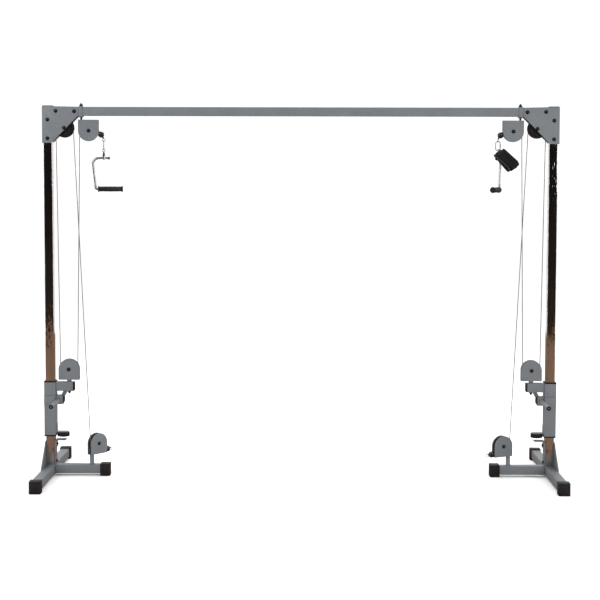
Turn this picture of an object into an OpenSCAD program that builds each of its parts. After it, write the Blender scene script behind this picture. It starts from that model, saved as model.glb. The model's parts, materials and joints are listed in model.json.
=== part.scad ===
// Plate-loaded cable crossover machine: two towers joined by a crossbar. Each tower has one
// cable, held at both ends by a rubber ball stop. It runs over a swivelling upper pulley, down
// and under the pulley on the sliding carriage, up and over a fixed top pulley, and down under
// a swivelling lower pulley. X is the width, Y the depth (front is -Y), Z is up. The origin is
// the middle of the footprint, on the floor. A tower is drawn with u = x measured from its
// upright towards the middle of the machine, and the right tower is its mirror image.

/* [Frame] */
// Distance from the middle of the machine to the middle of an upright
upright_x = 1430; // [1200:5:1600]
// Height of the top of the steel uprights
upright_top = 2110; // [2050:5:2200]
// Side of the square tubes
tube = 50; // [48:1:52]
// Wall of the square tubes
wall = 3; // [2:0.5:4]
// Length of the front-to-back leg with its feet
leg_len = 964; // [850:2:1100]
// Reach of the side leg with its foot, from the middle of the upright
side_leg_reach = 340; // [320:2:380]
// Height of the underside of the leg tubes above the floor
leg_lift = 12; // [10:1:14]

/* [Pulleys] */
// Outer radius of a pulley
pulley_r = 55; // [54:0.5:55.5]
// Radius at which the cable runs round a pulley
cable_r = 49; // [48:0.5:50]
// Width of a pulley
pulley_w = 22; // [20:1:23]
// Diameter of the cable
cable_d = 5; // [4:0.5:5.5]
// Diameter of the pulley axles
axle_d = 12; // [10:1:12]
// Radius of the round end of a pulley housing
housing_r = 59; // [58:0.5:60]
// Thickness of the housing plates
housing_t = 4; // [3:0.5:4]

/* [Carriage] */
// Height of the bottom of the carriage sleeve with the cable slack taken up
sleeve_z = 236; // [234:1:240]
// Length of the carriage sleeve
sleeve_len = 303; // [300:1:304]
// Side of the square sleeve
sleeve = 65; // [64:1:66]
// Distance of the carriage pulley from the middle of the upright
carriage_pulley_u = 107; // [105:1:108]
// Diameter of the weight horn
horn_d = 25; // [24:0.5:28]
// Distance of the tip of the weight horn from the middle of the upright
horn_reach = 257; // [200:1:300]

/* [Stations] */
// Distance of the upper swivel bolt from the middle of the upright
upper_swivel_u = 187; // [186:1:189]
// Distance of the lower swivel stem from the middle of the upright
lower_swivel_u = 234; // [230:1:238]
// Turn of the left upper pulley housing, inner end to the back
left_upper_yaw = 9; // [-10:1:10]
// Turn of the right upper pulley housing, inner end to the back
right_upper_yaw = 0; // [-10:1:10]
// Turn of the left lower pulley housing, inner end to the back
left_lower_yaw = 48; // [-50:1:50]
// Turn of the right lower pulley housing, inner end to the back
right_lower_yaw = -25; // [-50:1:50]
// Turn of the left handle about its swivel
left_handle_yaw = 0; // [-20:1:20]
// Turn of the right handle about its swivel
right_handle_yaw = -68; // [-72:1:-64]
// Diameter of the ball stops
ball_d = 36; // [34:1:38]
// Length of the handle grip
grip_len = 141; // [120:1:150]

/* [Hidden] */
$fn = 48;
LEFT = 0;
RIGHT = 1;
UPPER_YAW = [left_upper_yaw, right_upper_yaw];
LOWER_YAW = [left_lower_yaw, right_lower_yaw];
HANDLE_YAW = [left_handle_yaw, right_handle_yaw];

steel_grey = [0.52, 0.54, 0.55];
chrome_grey = [0.72, 0.71, 0.70];
rubber_black = [0.10, 0.09, 0.10];
bolt_black = [0.16, 0.16, 0.17];
cable_grey = [0.66, 0.66, 0.64];

half = tube / 2;
leg_top = leg_lift + tube;
plate_t = 5;
fit = 0.05;          // radial clearance of a running fit
axle_r = axle_d / 2;
washer_r = 11;
washer_t = 1.5;
head_r = 9;
head_h = 7;

// feet
foot_w = 63;
foot_h = 69;
foot_len = 55;
foot_end = 6;        // rubber beyond the end of the tube

// crossbar and top corner
bar_top = 2107;
bar_bottom = bar_top - tube;
gusset_left = -31;
gusset_right = 174;
gusset_bottom = 1903;
gusset_top = upright_top;
cap_lip = 28;
cap_t = 4;
corner_bolts = [[47, 2083], [152, 2081], [0, 2034], [0, 1929]];
top_pulley_u = 94;
top_pulley_z = 1988;
top_pulley_y = -10;  // set forward, so that the two long runs pass each other

// base
brace_top = 200;
brace_foot = 165;
side_plate_top = 200;
base_bolts = [180, 82];
stop_z = 203;
stop_reach = 87;
swivel_sleeve_r = 12.5;
stem_r = 8;
swivel_sleeve_top = 116;

// pulley housings
bridge_t = 3;        // thickness of the plate that joins the two side plates
housing_gap = pulley_w / 2 + 2;      // half the space between the plates
housing_y = housing_gap + housing_t; // half the width over the plates
swivel_to_pulley = cable_r - 9;      // the cable passes 9 mm outside the swivel axis
upper_z = 1973;
upper_bridge_top = 2035;
carriage_pulley_z = 612;
carriage_bridge = 552;
lower_z = 178;
lower_bridge = 118;

// carriage
sleeve_top = sleeve_z + sleeve_len;
arm_reach = 131;
horn_u = 50;
horn_z = 437;
stub_reach = 73;
bushing_lip = 8;
bumper_u = 72;
bumper_r = 34.5;

// ends of the cable
cable_radius = cable_d / 2;
run_gap = 1;         // between a long run and the arc of cable on a pulley
upper_exit = 32;     // angle at which the cable leaves the upper pulley, above level
upper_stub = 55;     // cable from the pulley to the middle of the ball stop
lower_exit = -85;
lower_stub = 68;
shank = 27;          // from the middle of the ball to the end of its shank
ring_wire = 2;
ring_r = 8;
RING_TURN = [0, 90]; // the left ring is seen face on from the front, the right one edge on

// snap hook, swivel eye, handle and strap
snap_wire = 2.6;
snap_len = 52;
snap_r = 13;
link_gap = 0.3;      // play between a ring and the wire that lies in it
eye_r = 8;
eye_drop = snap_len - snap_wire - ring_wire - link_gap + eye_r;
stud_r = 4;
handle_drop = 97;
boss_h = 16;
stud_len = handle_drop + boss_h / 2 + 0.3 - eye_drop - eye_r;
bar_r = 7.5;
grip_start = -34;
strap_w = 72;
strap_len = 140;
strap_loop = 22;
strap_ring = 9;
strap_front = 15;    // the cuff hangs in front of its ring
strap_side = 20;     // and to one side of it
strap_tilt = 41;
strap_lean = 28;
strap_turn = -20;
strap_hang = [-5.2, 2, -45.2];

// one tower: everything inside is drawn in u, and the right tower is mirrored
module tower(side) {
    if (side == LEFT) translate([-upright_x, 0, 0]) children();
    else mirror([1, 0, 0]) translate([-upright_x, 0, 0]) children();
}

module both_towers() {
    tower(LEFT) children();
    tower(RIGHT) children();
}

// children at the swivel axis u, turned by the housing's yaw; the pulley lies towards +x
module on_swivel(u, yaw) {
    translate([u, 0, 0]) rotate([0, 0, yaw]) children();
}

module box(low, high) {
    translate(low) cube(high - low);
}

// square tube along Z from low to high, open at both ends
module post(side_len, low, high, t) {
    difference() {
        box([-side_len / 2, -side_len / 2, low], [side_len / 2, side_len / 2, high]);
        box([-side_len / 2 + t, -side_len / 2 + t, low - 1],
            [side_len / 2 - t, side_len / 2 - t, high + 1]);
    }
}

// cylinder with its axis along Y, from y0 to y1
module rod_y(r, y0, y1) {
    translate([0, y0, 0]) rotate([-90, 0, 0]) cylinder(r = r, h = y1 - y0);
}

// cylinder with its axis along X, from x0 to x1
module rod_x(r, x0, x1) {
    translate([x0, 0, 0]) rotate([0, 90, 0]) cylinder(r = r, h = x1 - x0);
}

// through bolt along Y: washer and domed hex-size head at both ends
module bolt_y(r, y0, y1) {
    rod_y(r, y0, y1);
    rod_y(washer_r, y0 - washer_t, y0);
    rod_y(head_r, y0 - washer_t - head_h, y0 - washer_t);
    rod_y(washer_r, y1, y1 + washer_t);
    rod_y(head_r, y1 + washer_t, y1 + washer_t + head_h);
}

module uprights() {
    color(chrome_grey) both_towers() difference() {
        post(tube, leg_top, upright_top, wall);
        for (b = corner_bolts) if (b[0] == 0) translate([0, 0, b[1]]) rod_y(4, -half - 1, half + 1);
        for (z = base_bolts) translate([0, 0, z]) rod_x(5, -half - 1, half + 1);
    }
}

module upright_caps() {
    color(rubber_black) both_towers() {
        box([-cap_lip, -cap_lip, upright_top], [cap_lip, cap_lip, upright_top + cap_t]);
        box([-half + wall, -half + wall, upright_top - 18], [half - wall, half - wall, upright_top]);
    }
}

module crossbar() {
    bar_half = upright_x - half;
    color(steel_grey) difference() {
        box([-bar_half, -half, bar_bottom], [bar_half, half, bar_top]);
        box([-bar_half - 1, -half + wall, bar_bottom + wall], [bar_half + 1, half - wall, bar_top - wall]);
        both_towers() {
            for (b = corner_bolts) if (b[0] > 0) translate([b[0], 0, b[1]]) rod_y(4, -half - 1, half + 1);
            translate([upper_swivel_u, 0, bar_bottom - 1]) cylinder(r = axle_r + fit, h = tube + 2);
        }
    }
}

module gusset_plate() {
    rotate([90, 0, 0]) linear_extrude(plate_t) difference() {
        polygon([[gusset_left, gusset_top], [gusset_left, gusset_bottom], [22, gusset_bottom],
            [gusset_right, bar_bottom], [gusset_right, bar_top], [half, gusset_top]]);
        for (b = corner_bolts) translate(b) circle(r = 4);
        translate([top_pulley_u, top_pulley_z]) circle(r = axle_r);
    }
}

module top_gussets() {
    color(steel_grey) both_towers() {
        translate([0, -half, 0]) gusset_plate();
        translate([0, half + plate_t, 0]) gusset_plate();
    }
}

// front-to-back leg with the triangular brace plate on its outer side
module base_legs() {
    end = leg_len / 2 - foot_end;
    color(steel_grey) both_towers() {
        difference() {
            box([-half, -end, leg_lift], [half, end, leg_top]);
            box([-half + wall, -end - 1, leg_lift + wall], [half - wall, end + 1, leg_top - wall]);
        }
        difference() {
            translate([-half, 0, 0]) rotate([90, 0, -90]) linear_extrude(plate_t)
                polygon([[-half, brace_top], [-brace_foot, leg_top], [-brace_foot, leg_top - 22],
                    [brace_foot, leg_top - 22], [brace_foot, leg_top], [half, brace_top]]);
            for (z = base_bolts) translate([0, 0, z]) rod_x(5, -half - plate_t - 1, -half + 1);
        }
    }
}

// side leg with its bolting plate and the sleeve that carries the lower swivel
module side_legs() {
    start = half + plate_t;
    end = side_leg_reach - foot_end;
    color(steel_grey) both_towers() {
        difference() {
            box([start, -half, leg_lift], [end, half, leg_top]);
            box([start - 1, -half + wall, leg_lift + wall], [end + 1, half - wall, leg_top - wall]);
        }
        difference() {
            box([half, -half, leg_lift], [start, half, side_plate_top]);
            for (z = base_bolts) translate([0, 0, z]) rod_x(5, half - 1, start + 1);
        }
        translate([lower_swivel_u, 0, leg_top]) difference() {
            cylinder(r = swivel_sleeve_r, h = swivel_sleeve_top - leg_top);
            translate([0, 0, 2]) cylinder(r = stem_r + fit, h = swivel_sleeve_top - leg_top);
        }
    }
}

// boot drawn at the end of a tube that runs along +Y to y = 0
module foot() {
    difference() {
        box([-foot_w / 2, foot_end - foot_len, 0], [foot_w / 2, foot_end, foot_h]);
        box([-half, -foot_len, leg_lift], [half, 0, leg_top]);
    }
}

module rubber_feet() {
    end = leg_len / 2 - foot_end;
    color(rubber_black) both_towers() {
        translate([0, end, 0]) foot();
        rotate([0, 0, 180]) translate([0, end, 0]) foot();
        translate([side_leg_reach - foot_end, 0, 0]) rotate([0, 0, -90]) foot();
    }
}

// corner bolts, the top pulley's axle with its spacers, and the bolts of the base
module frame_fasteners() {
    outer = half + plate_t;
    color(bolt_black) both_towers() {
        for (b = corner_bolts) translate([b[0], 0, b[1]]) bolt_y(4, -outer, outer);
        translate([top_pulley_u, 0, top_pulley_z]) {
            bolt_y(axle_r, -outer, outer);
            rod_y(axle_r + 3, -half, top_pulley_y - pulley_w / 2 - 0.5);
            rod_y(axle_r + 3, top_pulley_y + pulley_w / 2 + 0.5, half);
        }
        for (z = base_bolts) translate([0, 0, z]) {
            seat = z > 100 ? outer + 4 : outer;
            rod_x(5, -outer, seat);
            rod_x(head_r, -outer - head_h, -outer);
            rod_x(washer_r, seat, seat + washer_t);
            rod_x(head_r, seat + washer_t, seat + washer_t + head_h);
        }
    }
}

// angle plate under the carriage bumper
module stop_brackets() {
    color(steel_grey) both_towers() difference() {
        union() {
            box([half + plate_t, -half, 160], [half + plate_t + 4, half, stop_z + 5]);
            box([half + plate_t, -half, stop_z], [stop_reach, half, stop_z + 5]);
        }
        translate([0, 0, base_bolts[0]]) rod_x(5, half, half + 12);
    }
}

// band round the crossbar that carries the upper swivel
module swivel_brackets() {
    color(steel_grey) both_towers() translate([upper_swivel_u, 0, 0]) {
        difference() {
            box([-12, -half - 3, bar_bottom - 4], [12, half + 3, bar_top + 3]);
            box([-13, -half, bar_bottom], [13, half, bar_top]);
            translate([0, 0, bar_bottom - 5]) cylinder(r = axle_r + fit, h = tube + 10);
        }
        difference() {
            translate([0, 0, bar_bottom - 10]) cylinder(r = 11, h = 6);
            translate([0, 0, bar_bottom - 11]) cylinder(r = axle_r + fit, h = 8);
        }
    }
}

// pulley on its axis along Y, with a V groove for the cable and a thin web
module pulley() {
    edge = pulley_w / 2;
    groove = cable_r - cable_radius - 0.3;
    color(rubber_black) rotate([90, 0, 0]) rotate_extrude() polygon([
        [axle_r + fit, -edge], [16, -edge], [20, -4], [38, -4], [42, -edge + 1], [pulley_r, -edge + 1],
        [pulley_r, -edge + 3], [groove, -cable_radius - 0.3], [groove, cable_radius + 0.3],
        [pulley_r, edge - 3], [pulley_r, edge - 1], [42, edge - 1], [38, 4], [20, 4],
        [16, edge], [axle_r + fit, edge]]);
}

// two side plates and a bridge at distance reach below the pulley's middle, which is at 0
module housing(reach) {
    for (y = [-housing_gap, housing_y]) translate([0, y, 0]) rotate([90, 0, 0])
        linear_extrude(housing_t) difference() {
            union() {
                circle(r = housing_r);
                translate([-housing_r, -reach]) square([2 * housing_r, reach]);
            }
            circle(r = axle_r);
        }
    box([-housing_r, -housing_gap, -reach], [housing_r, housing_gap, -reach + bridge_t]);
}

// axle of a housing with its head, nut and the spacers beside the pulley
module housing_axle() {
    bolt_y(axle_r, -housing_y, housing_y);
    for (s = [-1, 1]) translate([0, s * (housing_gap + pulley_w / 2) / 2, 0])
        rod_y(axle_r + 3, -0.7, 0.7);
}

// round arc of cable about 0 in the XZ plane, from angle a0 over sweep degrees
module cable_arc(a0, sweep) {
    rotate([90, 0, 0]) rotate([0, 0, a0]) rotate_extrude(angle = sweep)
        translate([cable_r, 0]) circle(r = cable_radius, $fn = 24);
}

// straight round bar between two points
module strut(a, b, r) {
    d = b - a;
    len = norm(d);
    translate(a) rotate([0, acos(d[2] / len), atan2(d[1], d[0])])
        cylinder(r = r, h = len, $fn = 24);
}

// point at distance t from a swivel axis u, turned by yaw, at height z
function turned(u, yaw, t, z) = [u + t * cos(yaw), t * sin(yaw), z];
function on_circle(a) = [cable_r * cos(a), 0, cable_r * sin(a)];
function exit_dir(a) = [sin(a), 0, -cos(a)];
function end_point(turn, exit, stub) = on_circle(exit) + turn * stub * exit_dir(exit);

module top_cable_wraps() {
    color(cable_grey) both_towers()
        translate([top_pulley_u, top_pulley_y, top_pulley_z]) cable_arc(0, 180);
}

// the three long runs of one tower: pulled short or moved by the carriage and the swivels
module cable_runs(side) {
    top_left = [top_pulley_u - cable_r, top_pulley_y, top_pulley_z];
    top_right = [top_pulley_u + cable_r, top_pulley_y, top_pulley_z];
    upper = turned(upper_swivel_u, UPPER_YAW[side], swivel_to_pulley - cable_r, upper_z);
    lower = turned(lower_swivel_u, LOWER_YAW[side], swivel_to_pulley - cable_r, lower_z);
    carriage_left = [carriage_pulley_u - cable_r, 0, carriage_pulley_z];
    carriage_right = [carriage_pulley_u + cable_r, 0, carriage_pulley_z];
    color(cable_grey) tower(side) {
        cable_run(carriage_left, top_left);
        cable_run(carriage_right, upper);
        cable_run(lower, top_right);
    }
}

// straight cable between two points on pulleys, ending run_gap short of both
module cable_run(a, b) {
    step = run_gap * (b - a) / norm(b - a);
    strut(a + step, b - step, cable_radius);
}

// sleeve, arm, horn stub with its front plate, brace and bumper bracket, welded together
module carriage_frame(side) {
    h = sleeve / 2;
    under_arm = sleeve_top - tube;
    brace = [[60, horn_z + half - 1], [75, under_arm + 1], [96, under_arm + 1], [96, under_arm - 7],
        [78, horn_z + half - 14], [72, horn_z + half - 14], [72, horn_z + half - 1]];
    color(steel_grey) tower(side) {
        post(sleeve, sleeve_z, sleeve_top, wall);
        difference() {
            box([h, -half, under_arm], [arm_reach, half, sleeve_top]);
            box([h - 1, -half + wall, under_arm + wall],
                [arm_reach + 1, half - wall, sleeve_top - wall]);
            translate([carriage_pulley_u, 0, under_arm - 1]) cylinder(r = axle_r, h = tube + 2);
        }
        difference() {
            box([h, -half, horn_z - half], [stub_reach, half, horn_z + half]);
            box([h - 1, -half + wall, horn_z - half + wall],
                [stub_reach + 1, half - wall, horn_z + half - wall]);
        }
        box([-h, -h - 4, horn_z - half], [h, -h, horn_z + half]);
        translate([0, 3, 0]) rotate([90, 0, 0]) linear_extrude(6) polygon(brace);
        box([h, -20, 249], [h + 4, 20, 296]);
        box([h, -20, 249], [bumper_u + 25, 20, 253]);
    }
}

// nylon liners that slide on the upright, with a lip at each end of the sleeve
module slide_bushings(side) {
    gap = 0.3;
    inside = sleeve - 2 * wall - 0.2;
    color(rubber_black) tower(side) difference() {
        union() {
            for (z = [sleeve_z, sleeve_top - 60])
                box([-inside / 2, -inside / 2, z], [inside / 2, inside / 2, z + 60]);
            for (z = [sleeve_z - bushing_lip, sleeve_top])
                box([-sleeve / 2 - 0.5, -sleeve / 2 - 0.5, z],
                    [sleeve / 2 + 0.5, sleeve / 2 + 0.5, z + bushing_lip]);
        }
        box([-half - gap, -half - gap, sleeve_z - 20], [half + gap, half + gap, sleeve_top + 20]);
    }
}

module weight_horn(side) {
    color(steel_grey) tower(side) translate([horn_u, 0, horn_z]) difference() {
        rod_y(horn_d / 2, -horn_reach + 3, -half);
        rod_y(horn_d / 2 - 3, -horn_reach, -horn_reach + 22);
    }
}

// end caps of the arm, the stub and the horn, and the round bumper under its bracket
module carriage_rubber(side) {
    plug = half - wall;
    color(rubber_black) tower(side) {
        box([arm_reach, -half, sleeve_top - tube], [arm_reach + 6, half, sleeve_top]);
        translate([arm_reach, 0, sleeve_top - half]) box([-14, -plug, -plug], [0, plug, plug]);
        difference() {
            box([stub_reach, -half, horn_z - half + 10], [stub_reach + 5, half, horn_z + half]);
            box([stub_reach - 1, -3.2, horn_z], [stub_reach + 6, 3.2, horn_z + half + 1]);
        }
        translate([horn_u, 0, horn_z]) {
            rod_y(horn_d / 2, -horn_reach, -horn_reach + 3);
            rod_y(horn_d / 2 - 3.2, -horn_reach + 3, -horn_reach + 20);
        }
        translate([bumper_u, 0, 225]) cylinder(r = bumper_r, h = 24);
    }
}

module carriage_housing(side) {
    color(steel_grey) tower(side) {
        difference() {
            translate([carriage_pulley_u, 0, carriage_pulley_z])
                housing(carriage_pulley_z - carriage_bridge);
            translate([carriage_pulley_u, 0, carriage_bridge - 1]) cylinder(r = axle_r, h = 9);
        }
        translate([carriage_pulley_u, 0, sleeve_top]) difference() {
            cylinder(r = 13, h = carriage_bridge - sleeve_top);
            translate([0, 0, -1]) cylinder(r = axle_r, h = 20);
        }
    }
}

module carriage_bolts(side) {
    under = sleeve_top - tube;
    color(bolt_black) tower(side) {
        translate([carriage_pulley_u, 0, carriage_pulley_z]) housing_axle();
        translate([carriage_pulley_u, 0, 0]) {
            translate([0, 0, under]) cylinder(r = axle_r, h = carriage_bridge + bridge_t - under);
            translate([0, 0, under - 9]) cylinder(r = 9.5, h = 9);
            translate([0, 0, under - 18]) cylinder(r1 = 3, r2 = 8, h = 9);
        }
    }
}

module top_pulley(side) {
    tower(side) translate([top_pulley_u, top_pulley_y, top_pulley_z]) pulley();
}

module carriage_pulley(side) {
    tower(side) translate([carriage_pulley_u, 0, carriage_pulley_z]) pulley();
}

module carriage_cable(side) {
    color(cable_grey) tower(side)
        translate([carriage_pulley_u, 0, carriage_pulley_z]) cable_arc(180, 180);
}

// children at the middle of the upper pulley, in the housing's own frame
module at_upper_pulley(side) {
    tower(side) on_swivel(upper_swivel_u, UPPER_YAW[side])
        translate([swivel_to_pulley, 0, upper_z]) children();
}

module at_lower_pulley(side) {
    tower(side) on_swivel(lower_swivel_u, LOWER_YAW[side])
        translate([swivel_to_pulley, 0, lower_z]) children();
}

module upper_housing(side) {
    color(steel_grey) at_upper_pulley(side) difference() {
        mirror([0, 0, 1]) housing(upper_bridge_top - upper_z);
        translate([-swivel_to_pulley, 0, 50]) cylinder(r = axle_r, h = 20);
    }
}

// axle, and the swivel bolt with its pointed cap nut above the crossbar
module upper_bolts(side) {
    color(bolt_black) at_upper_pulley(side) {
        housing_axle();
        translate([-swivel_to_pulley, 0, -upper_z]) {
            translate([0, 0, upper_bridge_top - 12])
                cylinder(r = axle_r, h = bar_top + 6 - upper_bridge_top + 12);
            translate([0, 0, upper_bridge_top - bridge_t - 7]) cylinder(r = 9, h = 7);
            translate([0, 0, bar_top + 4]) cylinder(r = 10, h = 8);
            translate([0, 0, bar_top + 12]) cylinder(r1 = 8.5, r2 = 2.5, h = 10);
        }
    }
}

module upper_pulley(side) {
    at_upper_pulley(side) pulley();
}

module upper_cable(side) {
    color(cable_grey) at_upper_pulley(side) {
        cable_arc(upper_exit, 180 - upper_exit);
        strut(on_circle(upper_exit), end_point(1, upper_exit, upper_stub - 6), cable_radius);
    }
}

// direction in which the cable leaves the upper and the lower pulley, as a tilt from +Z
upper_tilt = 180 - upper_exit;
lower_tilt = -lower_exit;

// ball with a bore for the cable, a shank and the ring at the end of the cable; ball middle at 0
module ball_stop(way, tilt, ring_turn) {
    rotate([0, tilt, 0]) {
        difference() {
            sphere(d = ball_d);
            translate([0, 0, -ball_d]) cylinder(r = cable_radius + 0.3, h = ball_d + 2);
        }
        translate([0, 0, ball_d / 2 - 1]) cylinder(r = 3.5, h = shank - ball_d / 2 + 1);
    }
    translate(shank * way - [0, 0, ring_r]) rotate([90, 0, ring_turn])
        rotate_extrude() translate([ring_r, 0]) circle(r = ring_wire, $fn = 24);
}

module upper_stop(side) {
    color(rubber_black) at_upper_pulley(side) translate(end_point(1, upper_exit, upper_stub))
        ball_stop(exit_dir(upper_exit), upper_tilt, RING_TURN[side]);
}

module lower_stop(side) {
    color(rubber_black) at_lower_pulley(side) translate(end_point(-1, lower_exit, lower_stub))
        ball_stop(-exit_dir(lower_exit), lower_tilt, 0);
}

// children where the snap hook's wire lies in the ring, hanging straight down
module at_snap(side) {
    at_upper_pulley(side) translate(end_point(1, upper_exit, upper_stub + shank)
        - [0, 0, 2 * ring_r - ring_wire - snap_wire - link_gap]) children();
}

// oval snap hook in the YZ plane, hanging from 0, with the sleeve of its gate
module snap_hook(side) {
    color(chrome_grey) at_snap(side) rotate([0, 0, RING_TURN[side]]) {
        for (end = [0, 1]) translate([0, 0, end ? snap_r - snap_len : -snap_r])
            rotate([0, 90, 0]) rotate([0, 0, end ? -90 : 90])
                rotate_extrude(angle = 180) translate([snap_r, 0]) circle(r = snap_wire, $fn = 24);
        for (s = [-1, 1]) translate([0, s * snap_r, snap_r - snap_len])
            cylinder(r = snap_wire, h = snap_len - 2 * snap_r, $fn = 24);
        translate([0, snap_r, -snap_len / 2 - 9]) cylinder(r = snap_wire + 1, h = 18);
    }
}

// ring that hangs in the snap hook, with the stud that the handle turns on
module swivel_eye(side) {
    color(chrome_grey) at_snap(side) translate([0, 0, -eye_drop]) {
        rotate([90, 0, RING_TURN[side]]) rotate_extrude() translate([eye_r, 0]) circle(r = ring_wire, $fn = 24);
        translate([0, 0, -eye_r - stud_len]) cylinder(r = stud_r, h = stud_len);
        translate([0, 0, -eye_r - stud_len - 4]) cylinder(r = 6.5, h = 4);
        translate([0, 0, -eye_r - 25]) cylinder(r1 = 7.5, r2 = 3.4, h = 24);
    }
}

// children at the handle's swivel, level with the middle of its top bar, at its own turn
module at_handle(side) {
    at_snap(side) translate([0, 0, -handle_drop]) rotate([0, 0, HANDLE_YAW[side]]) children();
}

// points on a circle of radius r about c, in the XZ plane, from angle a0 to a1
function bend(c, r, a0, a1, n) = [for (i = [0:n]) let (a = a0 + (a1 - a0) * i / n)
    [c[0] + r * cos(a), c[1] + r * sin(a)]];

// bar of the handle: top bar, outer corner, side bar, lower corner and the core of the grip
bar_route = concat(
    [[32, -3], [16, -0.6], [0, 0], [-20, -0.8], [-36, -3.2]],
    bend([-44, -21], 17, 78, 178, 5),
    bend([-35, -165], 13, 184, 270, 5),
    [[-25, -178], [60, -178], [102, -178]]);

// tube of radius r swept along points [x, z] of the XZ plane, closed at both ends
module flat_sweep(route, r, sides) {
    n = len(route);
    function tangent(i) = let (a = route[max(i - 1, 0)], b = route[min(i + 1, n - 1)])
        atan2(b[1] - a[1], b[0] - a[0]);
    points = [for (i = [0:n - 1]) for (k = [0:sides - 1])
        let (a = tangent(i) + 90, w = r * cos(360 * k / sides))
        [route[i][0] + w * cos(a), r * sin(360 * k / sides), route[i][1] + w * sin(a)]];
    faces = concat(
        [for (i = [0:n - 2]) for (k = [0:sides - 1]) let (m = (k + 1) % sides)
            [i * sides + k, i * sides + m, (i + 1) * sides + m, (i + 1) * sides + k]],
        [[for (k = [sides - 1:-1:0]) k], [for (k = [0:sides - 1]) (n - 1) * sides + k]]);
    polyhedron(points, faces);
}

module handle(side) {
    color(chrome_grey) at_handle(side) difference() {
        union() {
            flat_sweep(bar_route, bar_r, 16);
            translate([0, 0, -boss_h / 2]) cylinder(r = 10, h = boss_h);
        }
        translate([0, 0, -boss_h / 2 - 1]) cylinder(r = stud_r + fit, h = boss_h + 2);
    }
}

// rubber grip with a flange at each end
module handle_grip(side) {
    color(rubber_black) at_handle(side) translate([grip_start, 0, -178]) difference() {
        union() {
            rod_x(15, 0, grip_len);
            for (x = [0, grip_len - 8]) rod_x(17, x, x + 8);
        }
        rod_x(bar_r + 0.3, -1, grip_len - 5);
    }
}

// padded cuff hanging as a flat loop from the right snap hook, with the ring it hangs by
module ankle_strap() {
    color(rubber_black) at_snap(RIGHT) translate(strap_hang)
        rotate([-strap_lean, strap_tilt, 0]) rotate([0, 0, strap_turn]) {
            translate([0, 0, -strap_ring]) rotate([0, 90, 0])
                rotate_extrude() translate([strap_ring, 0]) circle(r = ring_wire, $fn = 24);
            box([-7, -strap_front, -2 * strap_ring - 8], [7, 2.2, -2 * strap_ring + 2]);
            translate([strap_side - strap_w / 2, -strap_front, -2 * strap_ring]) rotate([90, 0, 90])
                linear_extrude(strap_w) difference() {
                    loop_outline(strap_loop, 7, 0);
                    loop_outline(strap_loop - 7, 2, -22);
                }
        }
}

// drop shape: a round end of radius r below a neck of half width neck, starting at top
module loop_outline(r, neck, top) {
    translate([0, -strap_len + strap_loop]) circle(r = r);
    polygon([[-neck, top], [-r * 0.99, -strap_len + strap_loop + r * 0.14],
        [-r * 0.99, -strap_len + strap_loop], [r * 0.99, -strap_len + strap_loop],
        [r * 0.99, -strap_len + strap_loop + r * 0.14], [neck, top]]);
}

module lower_housing(side) {
    color(steel_grey) at_lower_pulley(side) {
        housing(lower_z - lower_bridge);
        translate([-swivel_to_pulley, 0, leg_top + 3 - lower_z])
            cylinder(r = stem_r, h = lower_bridge - leg_top - 3);
    }
}

module lower_bolts(side) {
    color(bolt_black) at_lower_pulley(side) housing_axle();
}

module lower_pulley(side) {
    at_lower_pulley(side) pulley();
}

module lower_cable(side) {
    color(cable_grey) at_lower_pulley(side) {
        cable_arc(180, lower_exit + 180);
        strut(on_circle(lower_exit), end_point(-1, lower_exit, lower_stub - 6), cable_radius);
    }
}

uprights();
upright_caps();
crossbar();
top_gussets();
base_legs();
side_legs();
rubber_feet();
frame_fasteners();
stop_brackets();
swivel_brackets();
top_cable_wraps();
ankle_strap();
top_pulley(LEFT);  // left_top_pulley
cable_runs(LEFT);  // left_cable_runs
carriage_frame(LEFT);  // left_carriage_frame
slide_bushings(LEFT);  // left_slide_bushings
weight_horn(LEFT);  // left_weight_horn
carriage_rubber(LEFT);  // left_carriage_rubber
carriage_housing(LEFT);  // left_carriage_housing
carriage_bolts(LEFT);  // left_carriage_bolts
carriage_pulley(LEFT);  // left_carriage_pulley
carriage_cable(LEFT);  // left_carriage_cable
upper_housing(LEFT);  // left_upper_housing
upper_bolts(LEFT);  // left_upper_bolts
upper_pulley(LEFT);  // left_upper_pulley
upper_cable(LEFT);  // left_upper_cable
upper_stop(LEFT);  // left_upper_stop
snap_hook(LEFT);  // left_snap_hook
swivel_eye(LEFT);  // left_swivel_eye
handle(LEFT);  // left_handle
handle_grip(LEFT);  // left_handle_grip
lower_housing(LEFT);  // left_lower_housing
lower_bolts(LEFT);  // left_lower_bolts
lower_pulley(LEFT);  // left_lower_pulley
lower_cable(LEFT);  // left_lower_cable
lower_stop(LEFT);  // left_lower_stop
top_pulley(RIGHT);  // right_top_pulley
cable_runs(RIGHT);  // right_cable_runs
carriage_frame(RIGHT);  // right_carriage_frame
slide_bushings(RIGHT);  // right_slide_bushings
weight_horn(RIGHT);  // right_weight_horn
carriage_rubber(RIGHT);  // right_carriage_rubber
carriage_housing(RIGHT);  // right_carriage_housing
carriage_bolts(RIGHT);  // right_carriage_bolts
carriage_pulley(RIGHT);  // right_carriage_pulley
carriage_cable(RIGHT);  // right_carriage_cable
upper_housing(RIGHT);  // right_upper_housing
upper_bolts(RIGHT);  // right_upper_bolts
upper_pulley(RIGHT);  // right_upper_pulley
upper_cable(RIGHT);  // right_upper_cable
upper_stop(RIGHT);  // right_upper_stop
snap_hook(RIGHT);  // right_snap_hook
swivel_eye(RIGHT);  // right_swivel_eye
handle(RIGHT);  // right_handle
handle_grip(RIGHT);  // right_handle_grip
lower_housing(RIGHT);  // right_lower_housing
lower_bolts(RIGHT);  // right_lower_bolts
lower_pulley(RIGHT);  // right_lower_pulley
lower_cable(RIGHT);  // right_lower_cable
lower_stop(RIGHT);  // right_lower_stop
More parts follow.
